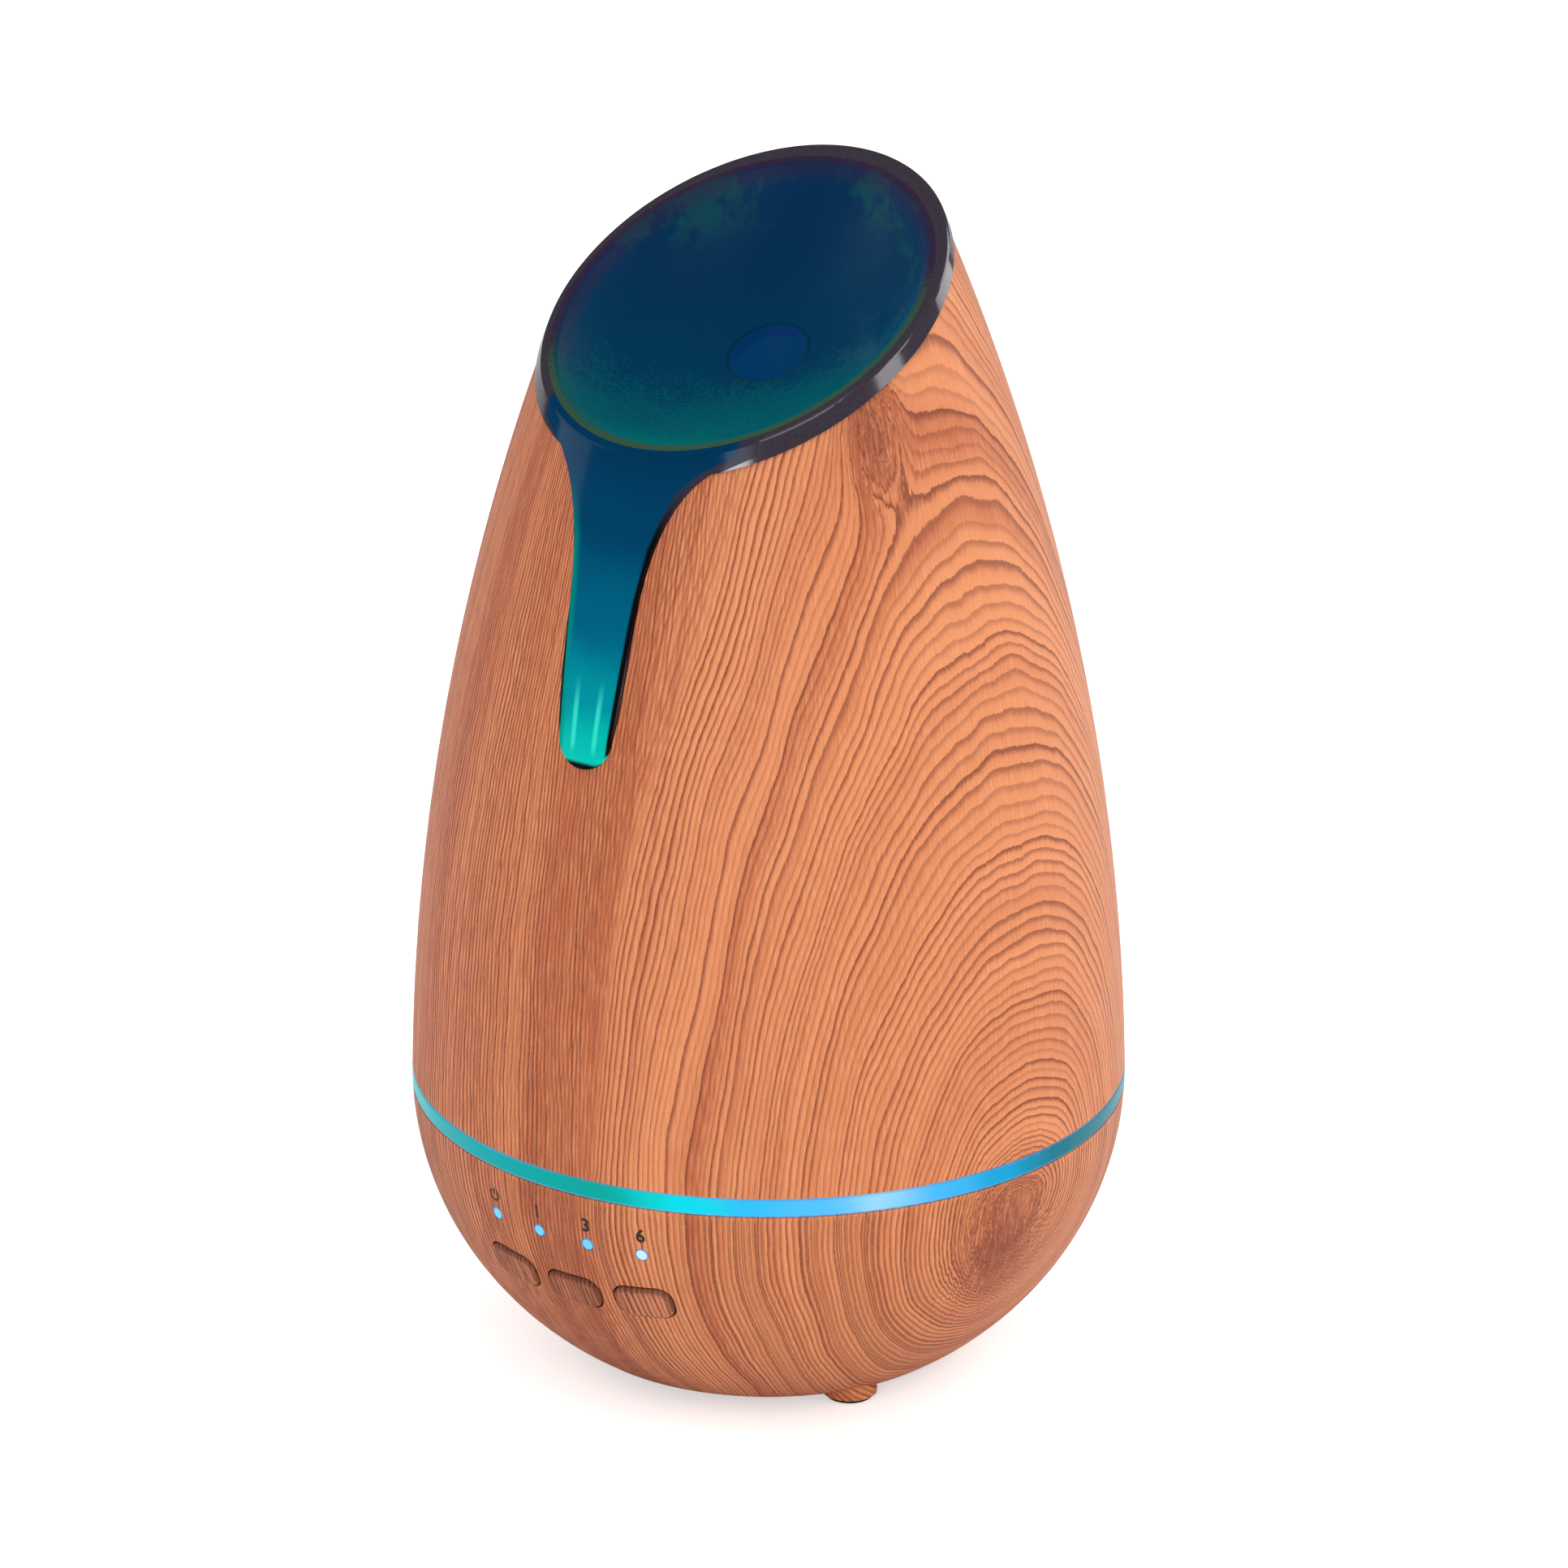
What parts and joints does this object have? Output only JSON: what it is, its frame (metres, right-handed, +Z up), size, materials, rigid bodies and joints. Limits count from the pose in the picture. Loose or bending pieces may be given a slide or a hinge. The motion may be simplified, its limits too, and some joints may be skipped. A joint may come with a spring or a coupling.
{
  "type": "cool mist humidifier",
  "caption": "Egg-shaped table-top ultrasonic humidifier with a wood-look lift-off cover, slanted mist dish with a drip-shaped light strip, light ring and push keys.",
  "frame": {"origin": "on the table under the middle of the body, between the feet", "axes": "+Z up along the body's axis; -Y is the front with the keys and the drip; +Y is the power inlet's side"},
  "size_m": [0.13, 0.13, 0.2182],
  "materials": {
    "wood_bowl": "satin printed wood grain",
    "wood_cover": "satin printed wood grain",
    "dish": "smoked see-through, lit from inside",
    "ring_light": "frosted, lit from inside",
    "tank": "milky see-through",
    "white_plastic": "satin",
    "black_plastic": "satin",
    "key_print": "satin printed wood grain",
    "clear_rods": "frosted, lit from inside",
    "rubber": "matte",
    "silicone": "matte",
    "steel": "brushed",
    "piezo": "nickel plated",
    "brass": "polished",
    "aluminium": "anodised",
    "copper": "enamelled copper winding",
    "board": "solder mask",
    "chip": "matte",
    "led_body": "gloss",
    "lead": "insulation"
  },
  "bodies": {
    "base": {"base_bowl": "wood_bowl", "foot_pads": "rubber", "base_screws": "steel", "light_ring": "ring_light", "deck_gasket": "silicone", "water_tank": "tank", "tank_floor": "tank", "cover_collar": "tank", "transducer_cup": "tank", "air_tower": "tank", "deck_posts": "tank", "transducer_disc": "piezo", "transducer_seal": "silicone", "transducer_plate": "steel", "transducer_screws": "steel", "fan_frame": "black_plastic", "fan_stator": "copper", "fan_screws": "steel", "air_duct": "white_plastic", "main_board": "board", "board_screws": "steel", "heat_sink": "aluminium", "inductor": "copper", "capacitors": "chip", "control_chip": "chip", "led_board": "board", "rgb_leds": "led_body", "key_board": "board", "tact_switches": "chip", "indicator_leds": "led_body", "light_pipes": "clear_rods", "dc_jack": "black_plastic", "jack_pin": "brass", "jack_lead": "lead", "fan_lead": "lead", "transducer_lead": "lead", "light_lead": "lead", "key_lead": "lead"},
    "cover": {"outer_cover": "wood_cover", "drip_dish": "dish", "mist_tube": "white_plastic"},
    "lid": {"inner_lid": "white_plastic", "lid_skirt": "white_plastic", "lid_chimney": "white_plastic"},
    "fan": {"fan_rotor": "black_plastic"},
    "left_key": {"key_left": "key_print", "plunger_left": "black_plastic"},
    "middle_key": {"key_middle": "key_print", "plunger_middle": "black_plastic"},
    "right_key": {"key_right": "key_print", "plunger_right": "black_plastic"}
  },
  "joints": [
    {"name": "cover_lift", "type": "slide", "parent": "base", "child": "cover", "axis": [0, 0, 1], "range_m": [0, 0.2]},
    {"name": "lid_lift", "type": "slide", "parent": "base", "child": "lid", "axis": [0, 0, 1], "range_m": [0, 0.08]},
    {"name": "left_key_press", "type": "slide", "parent": "base", "child": "left_key", "axis": [0, 0.9205, 0.3907], "range_m": [0, 0.0005], "stiffness_N_per_m": 1500, "springref_m": -0.0005},
    {"name": "middle_key_press", "type": "slide", "parent": "base", "child": "middle_key", "axis": [0, 0.9205, 0.3907], "range_m": [0, 0.0005], "stiffness_N_per_m": 1500, "springref_m": -0.0005},
    {"name": "right_key_press", "type": "slide", "parent": "base", "child": "right_key", "axis": [0, 0.9205, 0.3907], "range_m": [0, 0.0005], "stiffness_N_per_m": 1500, "springref_m": -0.0005},
    {"name": "fan_spin", "type": "hinge", "parent": "base", "child": "fan", "pos_m": [0.008, 0.008, 0.0132], "axis": [0, 0, 1], "continuous": true}
  ],
  "couplings": [
    {"joint": "lid_lift", "follows": "cover_lift", "ratio": 0.4}
  ]
}
